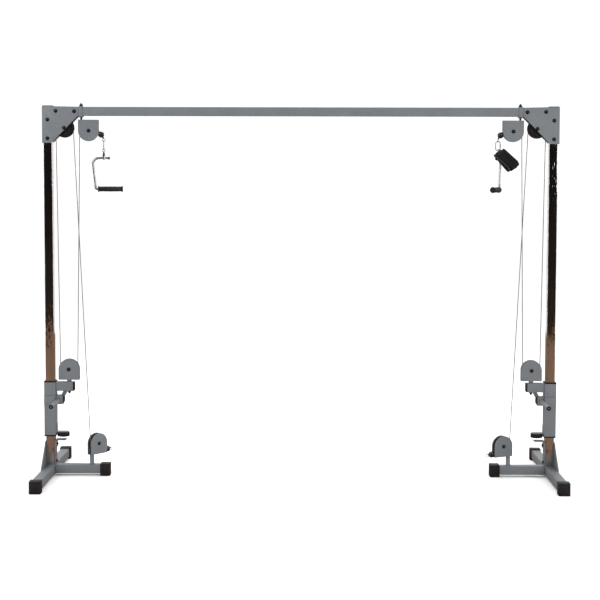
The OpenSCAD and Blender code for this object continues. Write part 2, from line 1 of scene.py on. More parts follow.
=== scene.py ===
"""Looks of the cable crossover machine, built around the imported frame.

Pieces are drawn in millimetres in a local frame (a tower, a pulley, a hook, a handle) and
placed in metres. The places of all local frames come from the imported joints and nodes, and
the sizes inside them repeat those of the CAD."""
import json
import math

import bmesh
import bpy
from mathutils import Matrix, Vector, noise


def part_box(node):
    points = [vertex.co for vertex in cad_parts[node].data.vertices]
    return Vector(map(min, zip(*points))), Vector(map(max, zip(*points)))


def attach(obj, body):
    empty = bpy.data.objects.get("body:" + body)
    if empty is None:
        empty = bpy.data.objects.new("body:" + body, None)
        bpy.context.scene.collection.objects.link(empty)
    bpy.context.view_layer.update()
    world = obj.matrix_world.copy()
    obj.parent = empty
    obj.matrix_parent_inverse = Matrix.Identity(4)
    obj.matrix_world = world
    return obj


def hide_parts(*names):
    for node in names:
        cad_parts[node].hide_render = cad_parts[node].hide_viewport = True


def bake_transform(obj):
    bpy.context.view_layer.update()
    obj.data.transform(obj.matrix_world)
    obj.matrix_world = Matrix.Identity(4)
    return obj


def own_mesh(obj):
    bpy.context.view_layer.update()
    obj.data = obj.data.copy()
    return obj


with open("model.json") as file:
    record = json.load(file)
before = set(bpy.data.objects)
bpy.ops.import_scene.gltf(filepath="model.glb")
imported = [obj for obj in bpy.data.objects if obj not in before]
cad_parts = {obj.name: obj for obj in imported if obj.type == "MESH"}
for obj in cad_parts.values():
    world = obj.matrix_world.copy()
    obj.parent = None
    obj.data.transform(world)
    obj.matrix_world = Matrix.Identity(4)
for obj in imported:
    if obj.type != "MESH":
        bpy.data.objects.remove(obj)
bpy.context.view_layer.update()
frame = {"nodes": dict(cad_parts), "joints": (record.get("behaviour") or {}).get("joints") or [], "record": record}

MM = 0.001
SIDES = {"left": -1, "right": 1}
JOINT = {j["name"]: j for j in frame["joints"]}
BODY = {n: b for b, nodes in frame["record"]["behaviour"]["bodies"].items() for n in nodes}
SLOT = {p["node"]: p["material_slot"] for p in frame["record"]["subparts"]}
TUBE = 50             # side of the square tubes
UPRIGHT_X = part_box("uprights")[1].x - TUBE / 2 * MM
UP = Vector((0, 0, 1))

CABLE_R = 49          # radius at which the cable runs round a pulley
CABLE_D = 5
HOUSING_Y = 17        # half the width over a housing's side plates
HORN_X = 50           # axis and tip of the weight horn
HORN_Z = 437
HORN_TIP = -257
STUB_LOW = 422        # the tube that carries the horn
STUB_HIGH = 462
ARM_LOW = 489         # the tube that carries the carriage pulley
ARM_HIGH = 539
EXIT = {"upper": math.radians(32), "lower": math.radians(-85)}
STUB = {"upper": 55, "lower": 68}
SHANK = 27            # from the middle of the ball to the end of the cable
RING_R = 8
RING_WIRE = 2
RING_STEPS = 40
EYE_DROP = 55.1       # from the hook's top to the middle of the swivel's eye
HANDLE_DROP = 97
HOOK_LEN = 52
HOOK_R = 13
HOOK_WIRE = 2.6

# ------------------------------------------------------------------ materials


def node_tools(name):
    material = bpy.data.materials.new(name)
    material.use_nodes = True
    tree = material.node_tree
    shader = tree.nodes["Principled BSDF"]

    def node(kind, **values):
        made = tree.nodes.new(kind)
        for key, value in values.items():
            socket = made.inputs.get(key.replace("_", " "))
            if socket is not None:
                socket.default_value = value
            else:
                setattr(made, key.lower(), value)
        return made

    place = node("ShaderNodeTexCoord").outputs["Object"]
    return material, tree, shader, node, place


def shade(colour, factor):
    return tuple(c * factor for c in colour) + (1,)


def surface(name, colour, metallic=0.0, roughness=0.5, spread=0.06, mottle=0.12, mottle_scale=9,
            grain=800, grain_depth=0.00004, wave=0.0, stretch=(1, 1, 1), dust=0.0, **sockets):
    """Colour that drifts between two shades, uneven gloss and a fine grain, all from noise."""
    material, tree, shader, node, place = node_tools(name)
    link = tree.links.new
    scaled = node("ShaderNodeVectorMath", operation="MULTIPLY")
    scaled.inputs[1].default_value = stretch
    link(place, scaled.inputs[0])
    broad = node("ShaderNodeTexNoise", Scale=mottle_scale, Detail=5, Roughness=0.6)
    fine = node("ShaderNodeTexNoise", Scale=grain, Detail=2, Roughness=0.5)
    for texture in (broad, fine):
        link(scaled.outputs[0], texture.inputs["Vector"])
    ramp = node("ShaderNodeValToRGB")
    ramp.color_ramp.elements[0].position = 0.3
    ramp.color_ramp.elements[0].color = shade(colour, 1 - mottle)
    ramp.color_ramp.elements[1].position = 0.72
    ramp.color_ramp.elements[1].color = shade(colour, 1 + mottle)
    link(broad.outputs["Fac"], ramp.inputs["Fac"])
    speck = node("ShaderNodeMixRGB", blend_type="MULTIPLY", Fac=0.35)
    link(ramp.outputs["Color"], speck.inputs["Color1"])
    flake = node("ShaderNodeMapRange", From_Min=0.3, From_Max=0.7, To_Min=0.8, To_Max=1.25)
    link(fine.outputs["Fac"], flake.inputs["Value"])
    link(flake.outputs["Result"], speck.inputs["Color2"])
    last = speck.outputs["Color"]
    if dust:
        settled = node("ShaderNodeMixRGB", blend_type="MIX", Color2=(0.35, 0.33, 0.30, 1))
        amount = node("ShaderNodeMapRange", From_Min=0.45, From_Max=0.8, To_Min=0.0, To_Max=dust)
        link(broad.outputs["Fac"], amount.inputs["Value"])
        link(amount.outputs["Result"], settled.inputs["Fac"])
        link(last, settled.inputs["Color1"])
        last = settled.outputs["Color"]
    link(last, shader.inputs["Base Color"])
    gloss = node("ShaderNodeMapRange", To_Min=max(roughness - spread, 0.02), To_Max=roughness + spread)
    link(broad.outputs["Fac"], gloss.inputs["Value"])
    link(gloss.outputs["Result"], shader.inputs["Roughness"])
    bump = node("ShaderNodeBump", Strength=0.6, Distance=grain_depth)
    link(fine.outputs["Fac"], bump.inputs["Height"])
    if wave:
        swell = node("ShaderNodeBump", Strength=1.0, Distance=wave)
        link(broad.outputs["Fac"], swell.inputs["Height"])
        link(swell.outputs["Normal"], bump.inputs["Normal"])
    link(bump.outputs["Normal"], shader.inputs["Normal"])
    shader.inputs["Metallic"].default_value = metallic
    for key, value in sockets.items():
        shader.inputs[key.replace("_", " ")].default_value = value
    return material


def woven(name, colour, thread=0.0011):
    """Plain weave of nylon threads: two crossed bands raise the threads, and the same bands, with a random tone,
    paint the gaps darker as painted shade and the raised threads lighter as painted highlight.
    """
    material, tree, shader, node, place = node_tools(name)
    link = tree.links.new
    heights = []
    for axis in ("X", "Z"):
        band = node("ShaderNodeTexWave", wave_type="BANDS", bands_direction=axis, Scale=0.314 / thread,
                    Distortion=0.6, Detail=1)
        link(place, band.inputs["Vector"])
        heights.append(band.outputs["Fac"])
    cross = node("ShaderNodeMath", operation="MAXIMUM")
    link(heights[0], cross.inputs[0])
    link(heights[1], cross.inputs[1])
    broad = node("ShaderNodeTexNoise", Scale=35, Detail=4)
    link(place, broad.inputs["Vector"])
    weave_shade_and_tone = node("ShaderNodeMath", operation="MULTIPLY")
    link(cross.outputs[0], weave_shade_and_tone.inputs[0])
    link(broad.outputs["Fac"], weave_shade_and_tone.inputs[1])
    # painted shade and highlight: the colour runs dark in the low gaps and light on the raised threads, following
    # the bump's bands, times a random tone
    ramp = node("ShaderNodeValToRGB")
    ramp.color_ramp.elements[0].color = shade(colour, 0.5)
    ramp.color_ramp.elements[1].color = shade(colour, 1.9)
    link(weave_shade_and_tone.outputs[0], ramp.inputs["Fac"])
    link(ramp.outputs["Color"], shader.inputs["Base Color"])
    bump = node("ShaderNodeBump", Strength=0.8, Distance=0.0003)
    link(cross.outputs[0], bump.inputs["Height"])
    link(bump.outputs["Normal"], shader.inputs["Normal"])
    shader.inputs["Roughness"].default_value = 0.72
    shader.inputs["Sheen Weight"].default_value = 0.05
    shader.inputs["Specular IOR Level"].default_value = 0.2
    shader.inputs["Sheen Roughness"].default_value = 0.4
    return material


LOOKS = {
    "frame_paint": surface("silver_powder_coat", (0.145, 0.159, 0.171), metallic=0.3, roughness=0.5,
                           mottle=0.06, grain=1400, grain_depth=0.00003),
    "upright_chrome": surface("chrome_plate", (0.60, 0.58, 0.56), metallic=1.0, roughness=0.07, spread=0.04,
                              mottle=0.05, mottle_scale=14, grain=300, grain_depth=0.000004,
                              wave=0.006, stretch=(1, 1, 0.12)),
    "cap_plastic": surface("cap_plastic", (0.010, 0.009, 0.010), Specular_IOR_Level=0.2, roughness=0.5,
                           dust=0.02),
    "foot_rubber": surface("foot_rubber", (0.008, 0.006, 0.007), Specular_IOR_Level=0.2, roughness=0.55,
                           grain=500, grain_depth=0.0001, dust=0.03),
    "black_steel": surface("black_oxide", (0.007, 0.007, 0.008), metallic=0.3, roughness=0.36, grain=1200),
    "cable_sheath": surface("coated_cable", (0.27, 0.26, 0.25), metallic=0.75, roughness=0.3,
                            mottle_scale=60, grain=2500, Coat_Weight=0.4),
    "strap_fabric": woven("nylon_weave", (0.004, 0.003, 0.0035)),
    "pulley_nylon": surface("pulley_nylon", (0.006, 0.004, 0.005), Specular_IOR_Level=0.2, roughness=0.5,
                            grain=900, grain_depth=0.00006, dust=0.02),
    "bushing_nylon": surface("bushing_nylon", (0.008, 0.007, 0.008), Specular_IOR_Level=0.2,
                             roughness=0.55, dust=0.03),
    "cap_rubber": surface("cap_rubber", (0.008, 0.006, 0.007), Specular_IOR_Level=0.2, roughness=0.52,
                          grain=600, grain_depth=0.00008, dust=0.02),
    "stop_rubber": surface("ball_rubber", (0.006, 0.005, 0.006), roughness=0.24, spread=0.08,
                           mottle_scale=40, grain=500, grain_depth=0.00005, Coat_Weight=0.35),
    "hook_steel": surface("zinc_steel", (0.40, 0.40, 0.38), metallic=0.9, roughness=0.3, spread=0.08,
                          mottle_scale=90),
    "handle_chrome": surface("handle_chrome", (0.46, 0.47, 0.47), metallic=0.85, roughness=0.22,
                             mottle_scale=30, grain=500, grain_depth=0.000008),
    "grip_rubber": surface("grip_rubber", (0.010, 0.008, 0.009), Specular_IOR_Level=0.2, roughness=0.5,
                           grain=700, grain_depth=0.00008, dust=0.05),
}

# ------------------------------------------------------------------ places


def basis(origin, x, y, z):
    made = Matrix.Identity(4)
    for column, vector in enumerate((x, y, z, origin)):
        made.col[column].xyz = vector
    return made


def tower(side):
    """Local frame of a tower: x from the upright to the middle of the machine, drawn in mm."""
    g = SIDES[side]
    return basis((g * UPRIGHT_X, 0, 0), (-g, 0, 0), (0, 1, 0), UP) @ Matrix.Scale(MM, 4)


def sheave(side, which):
    """Local frame of a pulley: x inwards, y along the axle."""
    joint = JOINT[f"{side}_{which}_sheave_spin"]
    y = Vector(joint["axis"])
    x = -SIDES[side] * y.cross(UP)
    return basis(joint["pos_m"], x, y, UP) @ Matrix.Scale(MM, 4)


def shift(x=0, y=0, z=0):
    return Matrix.Translation((x, y, z))


def turn_about(axis, degrees):
    return Matrix.Rotation(math.radians(degrees), 4, axis)


def hook_frame(side):
    """Local frame of a snap hook: hangs from 0 along -z, drawn in the frame of its housing."""
    made = sheave(side, "upper")
    made.col[3].xyz = JOINT[f"{side}_hook_swing"]["pos_m"]
    return made


HANDLE_YAW = {"left": 0, "right": -68}


def handle_frame(side):
    return hook_frame(side) @ shift(z=-HANDLE_DROP) @ turn_about("Z", HANDLE_YAW[side])


ALONG_Y = turn_about("X", -90)   # local z of a turned piece laid along +y
ALONG_X = turn_about("Y", 90)    # local z laid along +x

# ------------------------------------------------------------------ mesh tools


def loft(bm, rings, caps=True, ring_loop=False):
    """Quads between equal rings of vertices."""
    pairs = list(zip(rings, rings[1:]))
    if ring_loop:
        pairs.append((rings[-1], rings[0]))
    count = len(rings[0])
    for a, b in pairs:
        for k in range(count):
            m = (k + 1) % count
            bm.faces.new((a[k], a[m], b[m], b[k]))
    if caps and not ring_loop:
        bm.faces.new(rings[0][::-1])
        bm.faces.new(rings[-1])


def lathe(bm, profile, place=Matrix(), steps=48):
    """Turns (radius, height) points about local z; a radius of 0 closes on the axis."""
    rings = []
    for radius, height in profile:
        angles = range(1 if radius < 1e-6 else steps)
        rings.append([bm.verts.new(place @ Vector((radius * math.cos(k * math.tau / steps),
                                                   radius * math.sin(k * math.tau / steps), height)))
                      for k in angles])
    for a, b in zip(rings, rings[1:]):
        for k in range(steps):
            m = (k + 1) % steps
            corner = [a[k % len(a)], a[m % len(a)], b[m % len(b)], b[k % len(b)]]
            face = list(dict.fromkeys(corner))
            if len(face) > 2:
                bm.faces.new(face)


def soft(points, radius, closed=False, steps=4):
    """The path with each corner rounded off, by at most radius on each side of the corner."""
    points = [Vector(p) for p in points]
    count = len(points)
    made = []
    for i, p in enumerate(points):
        if not closed and i in (0, count - 1):
            made.append(p)
            continue
        ends = []
        for q in (points[i - 1], points[(i + 1) % count]):
            gap = (q - p).length
            ends.append(p + (q - p) * min(radius / gap, 0.49))
        for k in range(steps + 1):
            t = k / steps
            made.append(ends[0] * (1 - t) ** 2 + p * 2 * t * (1 - t) + ends[1] * t * t)
    return made


def sweep(bm, path, section, place=Matrix(), loop=False, start_normal=None):
    """Carries section(index, count), a list of (a, b) offsets, along the path without twisting."""
    path = [Vector(p) for p in path]
    count = len(path)
    tangents = []
    for i in range(count):
        before = path[i - 1] if (loop or i) else path[0]
        after = path[(i + 1) % count] if (loop or i < count - 1) else path[-1]
        tangents.append((after - before).normalized())
    normal = Vector(start_normal) if start_normal else tangents[0].orthogonal()
    rings = []
    for i, (point, tangent) in enumerate(zip(path, tangents)):
        normal = (normal - tangent * normal.dot(tangent)).normalized()
        side = tangent.cross(normal)
        rings.append([bm.verts.new(place @ (point + normal * a + side * b)) for a, b in section(i, count)])
    loft(bm, rings, caps=not loop, ring_loop=loop)


def circle(radius, sides=16):
    return [(radius * math.cos(k * math.tau / sides), radius * math.sin(k * math.tau / sides))
            for k in range(sides)]


def ring_path(radius):
    """Upright ring round the local y axis."""
    return [(x, 0, z) for x, z in circle(radius, RING_STEPS)]


def wire(bm, path, radius, place=Matrix(), sides=16, loop=False):
    ring = circle(radius, sides)
    sweep(bm, path, lambda i, n: ring, place, loop)


def prism(bm, outline, low, high, place=Matrix(), edge=1.0):
    """Plate between z low and high whose rim is rounded off by edge. The outline runs anticlockwise."""
    outline = [Vector((p[0], p[1])) for p in outline]
    count = len(outline)
    inward = []
    for i in range(count):
        a = (outline[i] - outline[i - 1])
        b = (outline[(i + 1) % count] - outline[i])
        normal = Vector((-a.y, a.x)).normalized() + Vector((-b.y, b.x)).normalized()
        length = normal.length
        inward.append(normal / max(length * length / 2, 0.3) if length else Vector((0, 0)))
    levels = ((low, edge), (low + edge * 0.3, edge * 0.3), (low + edge, 0), (high - edge, 0),
              (high - edge * 0.3, edge * 0.3), (high, edge))
    rings = []
    for height, inset in levels:
        rings.append([bm.verts.new(place @ Vector((*(p + n * inset), height)))
                      for p, n in zip(outline, inward)])
    loft(bm, rings)


def rectangle(x0, y0, x1, y1, corner=0.0):
    points = [(x0, y0), (x1, y0), (x1, y1), (x0, y1)]
    return soft([(x, y, 0) for x, y in points], corner, closed=True) if corner else points


def piece(name, bm, place, body, slot, replaced=(), smooth=38):
    """Finishes a mesh drawn in mm, puts it in place and hangs it on its body."""
    bmesh.ops.recalc_face_normals(bm, faces=bm.faces)
    mesh = bpy.data.meshes.new(name)
    bm.to_mesh(mesh)
    bm.free()
    mesh.transform(place)
    if place.determinant() < 0:
        mesh.flip_normals()
    mesh.shade_smooth()
    mesh.set_sharp_from_angle(angle=math.radians(smooth))
    made = bpy.data.objects.new(name, mesh)
    bpy.context.scene.collection.objects.link(made)
    mesh.materials.append(LOOKS[slot])
    if body:
        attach(made, body)
    if replaced:
        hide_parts(*replaced)
    return made


SHORTEST_EDGE = 0.004     # shorter edges of the CAD stay sharp


def softened(node, width):
    """The CAD node again, with its outer edges rounded off by width (in metres)."""
    source = frame["nodes"][node]
    bm = bmesh.new()
    bm.from_mesh(source.data)
    bmesh.ops.remove_doubles(bm, verts=bm.verts, dist=1e-5)
    bmesh.ops.dissolve_limit(bm, angle_limit=math.radians(1.5), verts=bm.verts, edges=bm.edges)
    edges = [e for e in bm.edges if e.is_manifold and e.is_convex
             and e.calc_face_angle(0) > math.radians(35) and e.calc_length() > SHORTEST_EDGE]
    bmesh.ops.bevel(bm, geom=edges, offset=width, segments=2, affect="EDGES", profile=0.6,
                    clamp_overlap=True)
    piece(f"{node}_body", bm, Matrix(), BODY[node], SLOT[node], (node,), smooth=30)

# ------------------------------------------------------------------ steelwork

EDGES = {"top_gussets": 1.1, "base_legs": 1.2, "side_legs": 1.2, "stop_brackets": 1.0,
         "swivel_brackets": 0.9, "upright_caps": 1.3, "rubber_feet": 2.6}
for node_name, edge_width in EDGES.items():
    softened(node_name, edge_width * MM)
for side in SIDES:
    for part, edge_width in (("carriage_frame", 1.1), ("slide_bushings", 1.2), ("carriage_housing", 1.1),
                             ("upper_housing", 1.1), ("lower_housing", 1.1)):
        softened(f"{side}_{part}", edge_width * MM)


def square_tube(bm, start, end, size, wall, corner, place=Matrix()):
    """Open square tube between two points, with round corners outside and in."""
    outer = soft([(x, y, 0) for x, y in rectangle(-size / 2, -size / 2, size / 2, size / 2)], corner,
                 closed=True, steps=5)
    hollow = size / 2 - wall
    inner = soft([(x, y, 0) for x, y in rectangle(-hollow, -hollow, hollow, hollow)], corner * 0.5,
                 closed=True, steps=5)
    start, end = Vector(start), Vector(end)
    turned = UP.rotation_difference(end - start).to_matrix()
    rings = [[bm.verts.new(place @ (at + turned @ p)) for p in outline]
             for at, outline in ((start, outer), (end, outer), (end, inner), (start, inner))]
    loft(bm, rings, ring_loop=True)


def tubes():
    """The chrome uprights, drawn in mm, and the crossbar, drawn in metres."""
    low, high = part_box("uprights")
    posts = bmesh.new()
    for side in SIDES:
        square_tube(posts, (0, 0, low.z / MM), (0, 0, high.z / MM), TUBE, 3, 5, tower(side))
    piece("upright_tubes", posts, Matrix(), "frame", "upright_chrome", ("uprights",))
    low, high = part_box("crossbar")
    beam = bmesh.new()
    middle = (low.z + high.z) / 2
    square_tube(beam, (low.x, 0, middle), (high.x, 0, middle), TUBE * MM, 0.003, 0.004)
    piece("crossbar_tube", beam, Matrix(), "frame", "frame_paint", ("crossbar",))


tubes()


def weld(bm, path, size, seed=0.0):
    """Weld bead: a low round bead whose ripples come from small steps along the path."""
    path = [Vector(p) for p in path]
    length = sum((b - a).length for a, b in zip(path, path[1:]))
    steps = max(int(length / (size * 0.45)), 3)
    dense = []
    for i in range(steps + 1):
        t = i / steps * (len(path) - 1)
        k = min(int(t), len(path) - 2)
        dense.append(path[k].lerp(path[k + 1], t - k))

    def section(i, n):
        uneven = 1 + 0.15 * noise.noise(dense[i] * 0.2 + Vector((seed, 0, 0)))
        swell = size * (0.82 + 0.18 * math.cos(i * 2.1)) * uneven
        return circle(swell * (0.5 if i in (0, n - 1) else 1.0), 8)
    sweep(bm, dense, section)


WELD_STEPS = 24       # of a bead that runs round
SLEEVE_BEAD = 33      # from the middle of the upright to the beads on the carriage's sleeve
BASE_BEAD = 30.5      # and to the beads on the foot of the tower
BASE_TOP = 62.5


def welds():
    """Beads where the towers and the carriages are welded together."""
    for side in SIDES:
        fixed, moving = bmesh.new(), bmesh.new()
        for y in (-25, 25):
            weld(fixed, ((BASE_BEAD, y, 62), (BASE_BEAD, y, 14)), 2.0, seed=y)
            weld(fixed, ((-25, y, 60), (25, y, 60)), 1.8, seed=y + 3)
            weld(moving, ((SLEEVE_BEAD, y, 492), (SLEEVE_BEAD, y, 536)), 2.2, seed=y + 7)
            weld(moving, ((SLEEVE_BEAD, y, 414), (SLEEVE_BEAD, y, 460)), 2.2, seed=y + 9)
        weld(fixed, ((BASE_BEAD, -24, BASE_TOP), (BASE_BEAD, 24, BASE_TOP)), 2.2)
        stem = [(234 + 13 * math.cos(k * math.tau / WELD_STEPS), 13 * math.sin(k * math.tau / WELD_STEPS),
                 BASE_TOP) for k in range(WELD_STEPS + 1)]
        weld(fixed, stem, 1.9)
        for z in (ARM_LOW, ARM_HIGH, 412, STUB_HIGH):
            weld(moving, ((SLEEVE_BEAD, -24, z), (SLEEVE_BEAD, 24, z)), 2.0, seed=z)
        weld(moving, ((-SLEEVE_BEAD, -36, STUB_HIGH), (SLEEVE_BEAD, -36, STUB_HIGH)), 1.5)
        weld(moving, ((SLEEVE_BEAD, -19, 296), (SLEEVE_BEAD, 19, 296)), 1.8)
        for y in (-3.2, 3.2):
            weld(moving, ((61, y, 463), (75, y, 488)), 1.1, seed=y)
        round_horn = [(HORN_X + 13 * math.cos(k * math.tau / WELD_STEPS), -26,
                       HORN_Z + 13 * math.sin(k * math.tau / WELD_STEPS)) for k in range(WELD_STEPS + 1)]
        weld(moving, round_horn, 1.8)
        piece(f"{side}_base_welds", fixed, tower(side), "frame", "frame_paint")
        piece(f"{side}_carriage_welds", moving, tower(side), f"{side}_carriage", "frame_paint")


welds()

# ------------------------------------------------------------------ fasteners


WASHER_R = 11.0
WASHER_T = 1.5


def cap_nut(bm, place, size, height):
    """Washer, chamfered hexagon and dome, growing along local +z from 0."""
    lathe(bm, [(0, 0), (WASHER_R, 0), (WASHER_R, 1.0), (WASHER_R - 0.5, WASHER_T), (0, WASHER_T)], place, 32)
    flat = WASHER_T + height * 0.5
    rings = []
    for radius, z in ((size - 0.4, WASHER_T), (size, 2.0), (size, flat - 0.6), (size - 0.9, flat)):
        rings.append([bm.verts.new(place @ Vector((x, y, z))) for x, y in circle(radius, 6)])
    loft(bm, rings)
    dome = [(size * 0.80 * math.cos(a), flat - 0.1 + (height * 0.5) * math.sin(a))
            for a in [k * math.pi / 12 for k in range(7)]]
    dome[-1] = (0, dome[-1][1])
    lathe(bm, [(0, flat - 0.1)] + dome, place, 24)


def shank(bm, place, radius, low, high):
    lathe(bm, [(0, low), (radius, low), (radius, high), (0, high)], place, 24)


def through_bolt(bm, place, radius, half_length, size=9.0, height=7.0):
    """Bolt along local y with a capped nut and washer at both ends."""
    shank(bm, place @ ALONG_Y, radius, -half_length, half_length)
    cap_nut(bm, place @ shift(y=half_length) @ ALONG_Y, size, height)
    cap_nut(bm, place @ shift(y=-half_length) @ ALONG_Y @ turn_about("X", 180), size, height)


CORNER_BOLTS = ((47, 2083), (152, 2081), (0, 2034), (0, 1929))
BASE_BOLTS = ((180, 34), (82, 30))     # height, and how far the bolt reaches inwards
PLATE_Y = 30                           # from the middle of a tube to the outside of its plates


def frame_bolts():
    """Bolts of the corner gussets, the top pulley's axle with its spacers, and the base bolts."""
    bm = bmesh.new()
    for side in SIDES:
        place = tower(side)
        for u, z in CORNER_BOLTS:
            through_bolt(bm, place @ shift(u, 0, z), 4, PLATE_Y, size=8.0, height=6.5)
        axle = place @ shift(94, 0, 1988)
        through_bolt(bm, axle, 6, PLATE_Y)
        for y0, y1 in ((-25, -21.5), (1.5, 25)):
            lathe(bm, [(6, y0), (9, y0), (9, y1), (6, y1)], axle @ ALONG_Y, 32)
        for z, seat in BASE_BOLTS:
            shank(bm, place @ shift(z=z) @ ALONG_X, 5, -PLATE_Y, seat)
            cap_nut(bm, place @ shift(seat, 0, z) @ ALONG_X, 9.0, 7.0)
            cap_nut(bm, place @ shift(-PLATE_Y, 0, z) @ ALONG_X @ turn_about("X", 180), 9.0, 7.0)
    piece("frame_bolts", bm, Matrix(), "frame", "black_steel", ("frame_fasteners",))


frame_bolts()


def housing_bolts(side, which, extra=None):
    bm = bmesh.new()
    through_bolt(bm, Matrix(), 6, HOUSING_Y)
    if extra:
        extra(bm)
    body = f"{side}_carriage" if which == "carriage" else f"{side}_{which}_swivel"
    piece(f"{side}_{which}_axle", bm, sheave(side, which), body, "black_steel", (f"{side}_{which}_bolts",))


def carriage_bolt(bm):
    """Vertical bolt through the arm, with the neck above it and the pointed nut below."""
    shank(bm, shift(z=-123), 6, 0, 66)
    lathe(bm, [(0, -123), (9.5, -123), (9.5, -131), (8.6, -132), (8, -132), (5, -138), (2.5, -141),
               (0, -141)], Matrix(), 32)


def swivel_bolt(bm):
    """Swivel bolt of the upper housing: nut under the bridge, pointed cap nut above the bar."""
    axis = shift(x=-40)
    shank(bm, axis, 6, 50, 140)
    rings = [[bm.verts.new(axis @ Vector((x, y, z))) for x, y in circle(r, 6)]
             for r, z in ((8.4, 52), (9, 52.8), (9, 58.4), (8.4, 59))]
    loft(bm, rings)
    lathe(bm, [(0, 138), (10, 138), (10.5, 139), (10.5, 144.5), (9.6, 146), (8.5, 146.4), (7.2, 150),
               (4.6, 153.6), (2.2, 155.6), (0, 156)], axis, 32)


for side in SIDES:
    housing_bolts(side, "carriage", carriage_bolt)
    housing_bolts(side, "upper", swivel_bolt)
    housing_bolts(side, "lower")

# ------------------------------------------------------------------ pulleys


def pulley(side, which):
    """Moulded pulley: hub, ribbed web and a grooved rim with rounded lips."""
    bm = bmesh.new()
    half = [(6.1, 10.6), (6.5, 11), (15.4, 11), (16.4, 10), (18.6, 4.6), (20.6, 3.4), (37.4, 3.4),
            (39.4, 4.4), (41.6, 9), (42.8, 10), (52.6, 10), (54.4, 9.3), (55, 8.2), (54.6, 7.2), (51, 5.2),
            (47.4, 3.2), (46.4, 1.6)]
    profile = half + [(46.2, 0)] + [(r, -y) for r, y in reversed(half)]
    lathe(bm, profile + [profile[0]], ALONG_Y, 72)
    for k in range(6):
        for s in (-1, 1):
            rib = ALONG_Y @ turn_about("Z", 60 * k) @ shift(z=s * 3.2)
            outline = [(15, -1.6), (42, -1.6), (42, 1.6), (15, 1.6)]
            prism(bm, outline, min(0, s * 4.2), max(0, s * 4.2), rib, edge=0.6)
    body = f"{side}_{which}_sheave"
    piece(f"{side}_{which}_pulley_wheel", bm, sheave(side, which), body, "pulley_nylon",
          (f"{side}_{which}_pulley",))


for side in SIDES:
    for which in ("top", "carriage", "upper", "lower"):
        pulley(side, which)

# ------------------------------------------------------------------ carriage trim


def carriage_trim(side):
    """Arm and stub caps, the bumper with its band, the horn with its end cap and button."""
    place = tower(side)
    bm = bmesh.new()
    facing = basis((0, 0, 0), (0, 1, 0), (0, 0, 1), (1, 0, 0))
    arm_cap = rectangle(-25, ARM_LOW, 25, ARM_HIGH, corner=4)
    prism(bm, arm_cap, 0, 6, shift(x=131) @ facing, edge=1.6)
    for y0, y1 in ((-25, -3.2), (3.2, 25)):
        half = rectangle(y0, STUB_LOW, y1, STUB_HIGH, corner=3)
        prism(bm, half, 0, 5, shift(x=73) @ facing, edge=1.2)
    under = shift(72, 0, 225)
    lathe(bm, [(0, 0), (31.5, 0), (33.8, 1), (34.5, 3), (34.5, 8), (33.6, 9), (33.6, 10.5), (0, 10.5)],
          under, 64)
    lathe(bm, [(0, 14), (33.6, 14), (33.6, 15.5), (34.5, 16.5), (34.5, 21), (33.6, 23.4), (32, 24), (0, 24)],
          under, 64)
    tip = shift(HORN_X, HORN_TIP, HORN_Z) @ ALONG_Y
    lathe(bm, [(0, 0.8), (6.2, 0.8), (6.8, 0), (11.4, 0), (12.5, 1), (12.5, 3), (9.3, 3), (9.3, 20), (0, 20)],
          tip, 48)
    piece(f"{side}_carriage_trim", bm, place, f"{side}_carriage", "cap_rubber", (f"{side}_carriage_rubber",))
    band = bmesh.new()
    lathe(band, [(0, 10.5), (34.1, 10.5), (34.4, 11), (34.4, 13.5), (34.1, 14), (0, 14)], under, 64)
    piece(f"{side}_bumper_band", band, place, f"{side}_carriage", "bushing_nylon")
    horn = bmesh.new()
    lathe(horn, [(9.5, 22), (9.5, 3), (12.1, 3), (12.5, 3.6), (12.5, 231.4), (12.5, 232), (0, 232)], tip, 64)
    piece(f"{side}_horn_bar", horn, place, f"{side}_carriage", "frame_paint", (f"{side}_weight_horn",))
    button = bmesh.new()
    lathe(button, [(0, -0.2), (2.8, 0.1), (3.6, 0.8), (0, 0.9)], tip, 32)
    piece(f"{side}_horn_button", button, place, f"{side}_carriage", "frame_paint")


for side in SIDES:
    carriage_trim(side)

# ------------------------------------------------------------------ cables

STRANDS = 6
STRAND_PITCH = 38
STRAND_DEPTH = 0.14


def strand_section(spacing):
    """Round section with six lobes, turned along the cable so that the strands lie round it."""
    def section(i, n):
        turn = i * spacing / STRAND_PITCH * math.tau
        made = []
        for k in range(24):
            a = k * math.tau / 24
            r = (CABLE_D / 2 - STRAND_DEPTH) + STRAND_DEPTH * math.cos(STRANDS * (a - turn))
            made.append((r * math.cos(a), r * math.sin(a)))
        return made
    return section


def cable(bm, path, spacing):
    sweep(bm, path, strand_section(spacing), start_normal=(0, 1, 0.1))


def straight(a, b, spacing):
    a, b = Vector(a), Vector(b)
    count = max(int((b - a).length / spacing), 2)
    return [a.lerp(b, i / count) for i in range(count + 1)]


def arc(a0, a1, steps):
    return [(CABLE_R * math.cos(a), 0, CABLE_R * math.sin(a))
            for a in [a0 + (a1 - a0) * k / steps for k in range(steps + 1)]]


def local(side, which, point):
    """A point of a pulley's frame, seen in the tower's frame."""
    return tower(side).inverted() @ sheave(side, which) @ Vector(point)


RUN_STEP = 6.0        # spacing of the cable's sections on long runs
BEND_STEP = 4.0       # on runs that bend
WRAP_STEP = 3.2       # and round a pulley
WRAP_SECTIONS = 48
BEND = 120            # length of run next to a swivelling pulley that is drawn as a piece of its own


def cut_run(a, b, far):
    """The point of a run from a to b that lies far before b, where its bending part starts."""
    a, b = Vector(a), Vector(b)
    return b + (a - b).normalized() * far


def straight_run(name, side, a, b, squashed=False):
    bm = bmesh.new()
    cable(bm, straight(a, b, RUN_STEP), RUN_STEP)
    made = piece(name, bm, tower(side), "frame", "cable_sheath")
    if squashed:
        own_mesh(made)
    return made


